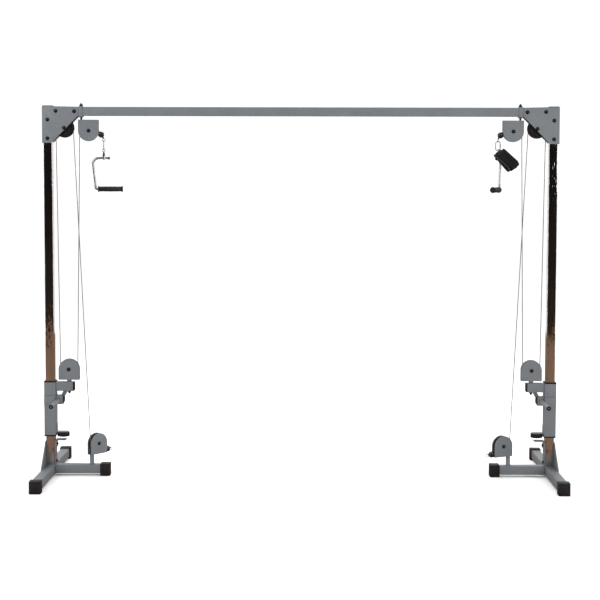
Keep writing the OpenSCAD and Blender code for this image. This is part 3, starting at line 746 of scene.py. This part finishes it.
def bending_run(name, side, a, b):
    """Stretch of cable from a, fixed to the frame, to b, where it meets a swivelling pulley."""
    bm = bmesh.new()
    cable(bm, straight(a, b, BEND_STEP), BEND_STEP)
    made = piece(name, bm, tower(side), None, "cable_sheath")
    tower(side) @ Vector(a)
    tower(side) @ Vector(b)
    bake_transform(made)


for side in SIDES:
    up_left = local(side, "carriage", (-CABLE_R, 0, 0))
    up_right = local(side, "carriage", (CABLE_R, 0, 0))
    top_left = local(side, "top", (-CABLE_R, 0, 0))
    top_right = local(side, "top", (CABLE_R, 0, 0))
    upper_in = local(side, "upper", (-CABLE_R, 0, 0))
    lower_in = local(side, "lower", (-CABLE_R, 0, 0))
    upper_cut = cut_run(up_right, upper_in, BEND)
    lower_cut = cut_run(top_right, lower_in, BEND)
    first = straight_run(f"{side}_run_to_top", side, up_left, top_left, squashed=True)
    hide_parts(f"{side}_cable_runs")
    straight_run(f"{side}_run_to_upper", side, up_right, upper_cut, squashed=True)
    bending_run(f"{side}_run_upper_end", side, upper_cut, upper_in)
    straight_run(f"{side}_run_to_lower", side, top_right, lower_cut)
    bending_run(f"{side}_run_lower_end", side, lower_cut, lower_in)
    for which, start, end, body in (("carriage", math.pi, 2 * math.pi, f"{side}_carriage"),
                                    ("top", 0, math.pi, "frame"),
                                    ("upper", EXIT["upper"], math.pi, f"{side}_upper_swivel"),
                                    ("lower", math.pi, math.tau + EXIT["lower"], f"{side}_lower_swivel")):
        bm = bmesh.new()
        cable(bm, arc(start, end, WRAP_SECTIONS), WRAP_STEP)
        made = piece(f"{side}_{which}_wrap", bm, sheave(side, which), body, "cable_sheath")
        if which == "top":
            if side == "left":
                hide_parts("top_cable_wraps")
        else:
            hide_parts(f"{side}_{which}_cable")

# ------------------------------------------------------------------ cable ends


def exit_way(which):
    a = EXIT[which]
    way = Vector((math.sin(a), 0, -math.cos(a)))
    return way if which == "upper" else -way


def end_point(which, distance):
    a = EXIT[which]
    return Vector((CABLE_R * math.cos(a), 0, CABLE_R * math.sin(a))) + exit_way(which) * distance


def cable_end(side, which):
    """Stub of cable, rubber ball with its moulded collar, crimped ferrule and the end ring."""
    place = sheave(side, which)
    way = exit_way(which)
    body = f"{side}_cable_end" if which == "upper" else f"{side}_lower_swivel"
    ball = bmesh.new()
    along = shift(*end_point(which, STUB[which])) @ UP.rotation_difference(way).to_matrix().to_4x4()
    profile = [(0, -17.6), (3.2, -17.6)]
    profile += [(18 * math.cos(a), 18 * math.sin(a)) for a in [math.radians(d) for d in range(-78, 80, 6)]]
    profile += [(3.6, 17.8), (0, 17.8)]
    lathe(ball, profile, along, 56)
    lathe(ball, [(0, 17), (5.2, 17), (5.4, 18.4), (4.6, 20), (4.4, 24), (3.4, 26.4), (0, 26.6)], along, 32)
    piece(f"{side}_{which}_ball", ball, place, body, "stop_rubber", (f"{side}_{which}_stop",))
    eye = bmesh.new()
    centre = shift(*(end_point(which, STUB[which] + SHANK) - Vector((0, 0, RING_R))))
    facing = turn_about("Z", 90 if which == "upper" and side == "right" else 0)
    wire(eye, ring_path(RING_R), RING_WIRE, centre @ facing, loop=True, sides=14)
    piece(f"{side}_{which}_ring", eye, place, body, "hook_steel")
    stub = bmesh.new()
    count = 40
    start, end = end_point(which, 0), end_point(which, STUB[which] - 12)
    cable(stub, [start.lerp(end, k / count) for k in range(count + 1)], STUB[which] / count)
    if which == "upper":
        made = piece(f"{side}_{which}_stub", stub, place, None, "cable_sheath")
        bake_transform(made)
    else:
        piece(f"{side}_{which}_stub", stub, place, body, "cable_sheath")


for side in SIDES:
    for which in ("upper", "lower"):
        cable_end(side, which)


def snap_hook(side):
    """Oval carabiner hook: bent wire, hinged gate with its pin and knurled sleeve."""
    facing = turn_about("Z", 90 if side == "right" else 0)
    wide = HOOK_R
    outline = []
    for k in range(13):
        a = math.pi * k / 12
        outline.append((0, wide * math.cos(a), -wide + wide * math.sin(a)))
    for k in range(13):
        a = math.pi + math.pi * k / 12
        outline.append((0, wide * math.cos(a), wide - HOOK_LEN + wide * math.sin(a)))
    bm = bmesh.new()
    wire(bm, outline, HOOK_WIRE, facing, sides=18, loop=True)
    gate = facing @ shift(0, wide, -HOOK_LEN / 2 - 9)
    ridges = [(3.1, 0)]
    for k in range(9):
        ridges += [(3.6, 0.6 + 2 * k), (3.6, 1.6 + 2 * k), (3.3, 2.0 + 2 * k)]
    lathe(bm, [(2.0, 0)] + ridges + [(2.0, 18)], gate, 28)
    for z in (-HOOK_LEN / 2 + 11.5, -HOOK_LEN / 2 - 12):
        lathe(bm, [(0, -3.6), (1.5, -3.6), (1.9, -3.2), (1.9, 3.2), (1.5, 3.6), (0, 3.6)],
              facing @ shift(0, wide, z) @ ALONG_X, 16)
    piece(f"{side}_hook", bm, hook_frame(side), f"{side}_hook", "hook_steel", (f"{side}_snap_hook",))


def swivel(side):
    """Eye, tapered black swivel body and the stud that carries the handle."""
    facing = turn_about("Z", 90 if side == "right" else 0)
    place = hook_frame(side) @ shift(z=-EYE_DROP)
    bm = bmesh.new()
    wire(bm, ring_path(RING_R), RING_WIRE, facing, loop=True, sides=14)
    lathe(bm, [(0, -33), (4, -33), (4, -50.2), (6.1, -50.2), (6.5, -50.6), (6.5, -53.6), (5.9, -54.2),
               (0, -54.2)], Matrix(), 32)
    piece(f"{side}_swivel_stud", bm, place, f"{side}_hook", "hook_steel", (f"{side}_swivel_eye",))
    cone = bmesh.new()
    lathe(cone, [(0, -33), (6.4, -33), (7.4, -32), (7.5, -30), (6.6, -26), (5.2, -18), (4.4, -13),
                 (4.2, -10.5), (3.2, -9.2), (0, -9)], Matrix(), 36)
    piece(f"{side}_swivel_cone", cone, place, f"{side}_hook", "black_steel")


def handle(side):
    """Bent chrome bar from the swivel round to the grip, with the boss that the stud passes."""
    place = handle_frame(side)
    route = [(32, 0, -3), (16, 0, -0.6), (0, 0, 0), (-20, 0, -0.8), (-44, 0, -4.2), (-61, 0, -21),
             (-61, 0, -40), (-48.3, 0, -150), (-47.6, 0, -178), (-20, 0, -178), (102, 0, -178)]
    path = soft(route, 16, steps=8)
    bm = bmesh.new()
    ends = (0, len(path) - 1)
    sweep(bm, path, lambda i, n: circle(7.0 if i in ends else 7.5, 24), Matrix())
    boss = [(4.1, -7.4), (9.2, -8), (10, -7.2), (10, 7.2), (9.2, 8), (4.1, 7.4), (4.1, -7.4)]
    lathe(bm, boss, Matrix(), 40)
    piece(f"{side}_handle_bar", bm, place, f"{side}_grip", "handle_chrome", (f"{side}_handle",))
    cap = bmesh.new()
    lathe(cap, [(0, 2.6), (5, 2.4), (7.4, 1.2), (8, 0), (8, -6), (7.7, -6.6), (0, -6.6)],
          shift(32, 0, -3) @ turn_about("Y", 95), 28)
    grip = shift(-34, 0, -178) @ ALONG_X
    profile = [(7.8, 0.4), (15.6, 0), (16.8, 1), (17, 2), (17, 6), (16.4, 7.6), (14.6, 8.4)]
    ribs = 17
    pitch = (133 - 9.5) / ribs
    for k in range(ribs):
        start = 9 + k * pitch
        bulge = 14.1 + 0.9 * math.sin(math.pi * (k + 0.5) / ribs)
        profile += [(bulge - 1.1, start), (bulge, start + pitch * 0.25), (bulge, start + pitch * 0.7),
                    (bulge - 1.1, start + pitch * 0.95)]
    profile += [(14.6, 132.6), (16.4, 133.4), (17, 135), (17, 139), (16.2, 140.6), (14, 141), (0, 140.4)]
    lathe(cap, profile, grip, 56)
    piece(f"{side}_grip_sleeve", cap, place, f"{side}_grip", "grip_rubber", (f"{side}_handle_grip",))


for side in SIDES:
    snap_hook(side)
    swivel(side)
    handle(side)

# ------------------------------------------------------------------ ankle cuff

CUFF_W = 73           # width of the cuff
CUFF_LEN = 140
CUFF_HALF = 22        # half the depth of the loop at its round end
CUFF_NECK = 6         # and at its narrow top
CUFF_SWELL = 0.003    # farthest that the simulation may move a point, in metres
STITCH_PITCH = 4.2
STITCH_LEN = 2.6
CUFF_FRONT = -15      # the cuff hangs in front of its ring
CUFF_SIDE = 20        # and to one side of it
cuff_frame = hook_frame("right")
cuff_frame.col[3].xyz = JOINT["cuff_swing"]["pos_m"]
cuff_frame = cuff_frame @ turn_about("Y", 41) @ turn_about("X", -28) @ turn_about("Z", -20)


def cuff_path(inset, bottom=CUFF_LEN):
    """Centre line of the padded band seen along its width: a drop that is narrow at the top."""
    r = CUFF_HALF - inset
    centre = -18 - bottom + CUFF_HALF
    made = [(CUFF_SIDE, CUFF_FRONT - CUFF_NECK + inset * 0.3, -19 - inset)]
    for k in range(17):
        a = math.pi + math.pi * k / 16
        made.append((CUFF_SIDE, CUFF_FRONT + r * math.cos(a), centre + r * math.sin(a)))
    made.append((CUFF_SIDE, CUFF_FRONT + CUFF_NECK - inset * 0.3, -19 - inset))
    return soft(made, 18, closed=True, steps=6)


def band(bm, path, width, thick, corner=2.0):
    """Closed flat band: a rounded rectangle carried round the path, wide along x."""
    outline = rectangle(-width / 2, -thick / 2, width / 2, thick / 2, corner)
    section = [(p.x, p.y) for p in outline]
    sweep(bm, path, lambda i, n: section, loop=True, start_normal=(1, 0, 0))


def simulate(made, cap, frames=20, pressure=4.0, voxel=0.003):
    """Swells a padded piece by cloth simulation, keeps each point within cap of where it was."""
    remesh = made.modifiers.new("remesh", "REMESH")
    remesh.mode = "VOXEL"
    remesh.voxel_size = voxel
    bpy.context.view_layer.objects.active = made
    bpy.ops.object.modifier_apply(modifier="remesh")
    rest = [v.co.copy() for v in made.data.vertices]
    cloth = made.modifiers.new("cloth", "CLOTH")
    cloth.settings.use_pressure = True
    cloth.settings.uniform_pressure_force = pressure
    cloth.settings.effector_weights.gravity = 0
    cloth.settings.tension_stiffness = 25
    cloth.settings.bending_stiffness = 1.5
    scene = bpy.context.scene
    for number in range(1, frames + 1):
        scene.frame_set(number)
    evaluated = made.evaluated_get(bpy.context.evaluated_depsgraph_get())
    for v, moved, start in zip(made.data.vertices, evaluated.data.vertices, rest):
        step = moved.co - start
        if step.length > cap:
            step *= cap / step.length
        v.co = start + step
    made.modifiers.remove(cloth)
    scene.frame_set(1)
    relaxed = made.modifiers.new("smooth", "SMOOTH")
    relaxed.iterations = 1
    relaxed.factor = 0.5
    bpy.ops.object.modifier_apply(modifier="smooth")
    finer = made.modifiers.new("subsurf", "SUBSURF")
    finer.levels = finer.render_levels = 1
    bpy.ops.object.modifier_apply(modifier="subsurf")
    made.data.shade_smooth()


def ankle_cuff():
    """Padded band with its binding, webbing and stitches, hung by a tab from its ring."""
    bm = bmesh.new()
    band(bm, cuff_path(3.5), CUFF_W - 3, 6.5, corner=2.6)
    pad = piece("ankle_cuff", bm, cuff_frame, None, "strap_fabric", ("ankle_strap",))
    simulate(pad, CUFF_SWELL)
    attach(pad, "cuff")
    trim = bmesh.new()
    for x in (-1, 1):
        path = [p + Vector((x * (CUFF_W / 2 - 2.5), 0, 0)) for p in cuff_path(3.5)]
        wire(trim, path, 3.4, sides=12, loop=True)
    piece("cuff_binding", trim, cuff_frame, "cuff", "stop_rubber")
    webbing = bmesh.new()
    band(webbing, cuff_path(-1.2, bottom=CUFF_LEN + 1.5), 38, 1.8, corner=0.7)
    flap = [(-19, 0), (19, 0), (19, 52), (13, 62), (-13, 62), (-19, 52)]
    front = shift(CUFF_SIDE, CUFF_FRONT - 14, -48) @ turn_about("X", 90 + 8)
    rounded = soft([(x, -y, 0) for x, y in reversed(flap)], 6, closed=True)
    prism(webbing, rounded, 0, 1.8, front, edge=0.6)
    piece("cuff_webbing", webbing, cuff_frame, "cuff", "strap_fabric")
    thread = bmesh.new()
    for x in (-16.5, 16.5):
        path = cuff_path(-2.3, bottom=CUFF_LEN + 2.6)
        for a, b in zip(path, path[1:]):
            span = (b - a).length
            for k in range(int(span / STITCH_PITCH)):
                start = a.lerp(b, (k * STITCH_PITCH) / span)
                end = a.lerp(b, (k * STITCH_PITCH + STITCH_LEN) / span)
                wire(thread, [start + Vector((x, 0, 0)), end + Vector((x, 0, 0))], 0.35, sides=6)
    piece("cuff_stitches", thread, cuff_frame, "cuff", "strap_fabric")
    metal = bmesh.new()
    ring = [(0, 9 * math.cos(k * math.tau / 40), -9 + 9 * math.sin(k * math.tau / 40)) for k in range(40)]
    wire(metal, ring, 2.0, loop=True, sides=14)
    piece("cuff_ring", metal, cuff_frame, "cuff", "hook_steel")
    tab = bmesh.new()
    loop_path = soft([(0, 3, -17), (0, 3, -22), (0, -3, -26), (0, CUFF_FRONT, -27), (0, CUFF_FRONT, -23),
                      (0, -3, -21), (0, -3, -16), (0, 0, -14)], 2, closed=True, steps=3)
    band(tab, loop_path, 16, 1.6, corner=0.5)
    piece("cuff_tab", tab, cuff_frame, "cuff", "strap_fabric")


ankle_cuff()

# ------------------------------------------------------------------ anything left shows its own material

for name, cad in frame["nodes"].items():
    cad.data.materials.clear()
    cad.data.materials.append(LOOKS[SLOT[name]])

# ------------------------------------------------------------------ stage, lights and camera


def stage_plane(name, z, half, colour, seen):
    """Floor of the studio; the unseen one only shows as a warm reflection in glossy surfaces."""
    mesh = bpy.data.meshes.new(name)
    corners = [(-half, -half, z), (half, -half, z), (half, half, z), (-half, half, z)]
    mesh.from_pydata(corners, [], [(0, 1, 2, 3)])
    made = bpy.data.objects.new(name, mesh)
    bpy.context.scene.collection.objects.link(made)
    material = bpy.data.materials.new(name)
    material.use_nodes = True
    shader = material.node_tree.nodes["Principled BSDF"]
    shader.inputs["Base Color"].default_value = (*colour, 1)
    shader.inputs["Roughness"].default_value = 0.8
    mesh.materials.append(material)
    made.visible_camera = seen
    made.visible_diffuse = seen
    made.visible_shadow = seen
    made.visible_glossy = not seen


stage_plane("studio_floor", -0.0015, 60, (0.97, 0.97, 0.97), True)
stage_plane("floor_reflection", -0.001, 7, (0.15, 0.072, 0.032), False)


def studio_world():
    """White surroundings; glossy surfaces see a dark room in front and the white sheet behind."""
    world = bpy.data.worlds.new("studio")
    bpy.context.scene.world = world
    world.use_nodes = True
    tree = world.node_tree
    tree.nodes.clear()
    out = tree.nodes.new("ShaderNodeOutputWorld")
    mix = tree.nodes.new("ShaderNodeMixShader")
    path = tree.nodes.new("ShaderNodeLightPath")
    white = tree.nodes.new("ShaderNodeBackground")
    white.inputs["Color"].default_value = (1, 1, 1, 1)
    white.inputs["Strength"].default_value = 1.08
    room = tree.nodes.new("ShaderNodeBackground")
    room.inputs["Strength"].default_value = 1.0
    link = tree.links.new
    place = tree.nodes.new("ShaderNodeTexCoord")
    split = tree.nodes.new("ShaderNodeSeparateXYZ")
    link(place.outputs["Generated"], split.inputs[0])

    def ramp(axis, stops):
        """Colours along one direction of the room, from -1 to 1."""
        level = tree.nodes.new("ShaderNodeMapRange")
        level.inputs["From Min"].default_value = -1
        link(split.outputs[axis], level.inputs["Value"])
        made = tree.nodes.new("ShaderNodeValToRGB")
        link(level.outputs["Result"], made.inputs["Fac"])
        elements = made.color_ramp.elements
        elements.remove(elements[1])
        elements[0].position, elements[0].color = stops[0][0], (*stops[0][1], 1)
        for position, colour in stops[1:]:
            elements.new(position).color = (*colour, 1)
        return made.outputs["Color"]

    dark_room = ramp("Z", ((0.0, (0.12, 0.07, 0.04)), (0.44, (0.03, 0.02, 0.015)),
                           (0.50, (0.01, 0.008, 0.008)), (0.66, (0.01, 0.01, 0.011)),
                           (0.82, (0.22, 0.23, 0.24)), (1.0, (0.7, 0.72, 0.75))))
    backdrop = ramp("Y", ((0.0, (0, 0, 0)), (0.52, (0, 0, 0)), (0.64, (0.8, 0.8, 0.8)), (1.0, (1, 1, 1))))
    both = tree.nodes.new("ShaderNodeMixRGB")
    both.blend_type = "ADD"
    both.inputs["Fac"].default_value = 1.0
    link(dark_room, both.inputs["Color1"])
    link(backdrop, both.inputs["Color2"])
    link(both.outputs["Color"], room.inputs["Color"])
    link(path.outputs["Is Glossy Ray"], mix.inputs["Fac"])
    link(white.outputs[0], mix.inputs[1])
    link(room.outputs[0], mix.inputs[2])
    link(mix.outputs[0], out.inputs["Surface"])


studio_world()


def area_light(name, place, target, size, size_y, power):
    data = bpy.data.lights.new(name, "AREA")
    data.shape = "RECTANGLE"
    data.size = size
    data.size_y = size_y
    data.energy = power
    made = bpy.data.objects.new(name, data)
    made.location = place
    made.rotation_euler = (Vector(place) - Vector(target)).to_track_quat("Z", "Y").to_euler()
    bpy.context.scene.collection.objects.link(made)


area_light("key", (-4.5, -6.0, 5.0), (0, 0, 1.0), 5.0, 5.0, 230)
area_light("fill", (5.0, -5.0, 3.5), (0, 0, 1.0), 4.0, 4.0, 150)
area_light("left_strip", (-6.5, 0.6, 1.6), (-1.4, 0, 1.2), 0.8, 4.0, 90)
area_light("right_strip", (6.5, 0.6, 1.6), (1.4, 0, 1.2), 0.8, 4.0, 90)
area_light("top", (0, 2.5, 6.0), (0, 0, 1.0), 5.0, 2.0, 150)

CAMERA = Vector((0.035, -7.537, 1.708))
CAMERA_YAW = math.radians(-0.278)      # to the right of +Y
CAMERA_PITCH = math.radians(3.538)     # downwards
CAMERA_ROLL = math.radians(0.139)
LENS = 79.5
lens_data = bpy.data.cameras.new("camera")
lens_data.lens = LENS
lens_data.sensor_width = 36
lens_data.shift_y = -0.0667
camera = bpy.data.objects.new("camera", lens_data)
ahead = Vector((math.sin(CAMERA_YAW) * math.cos(CAMERA_PITCH), math.cos(CAMERA_YAW) * math.cos(CAMERA_PITCH),
                -math.sin(CAMERA_PITCH)))
right = ahead.cross(UP).normalized()
above = right.cross(ahead)
turned_right = right * math.cos(CAMERA_ROLL) + above * math.sin(CAMERA_ROLL)
turned_up = above * math.cos(CAMERA_ROLL) - right * math.sin(CAMERA_ROLL)
camera.matrix_world = basis(CAMERA, turned_right, turned_up, -ahead)
bpy.context.scene.collection.objects.link(camera)
bpy.context.scene.camera = camera
bpy.context.scene.view_settings.view_transform = "Standard"
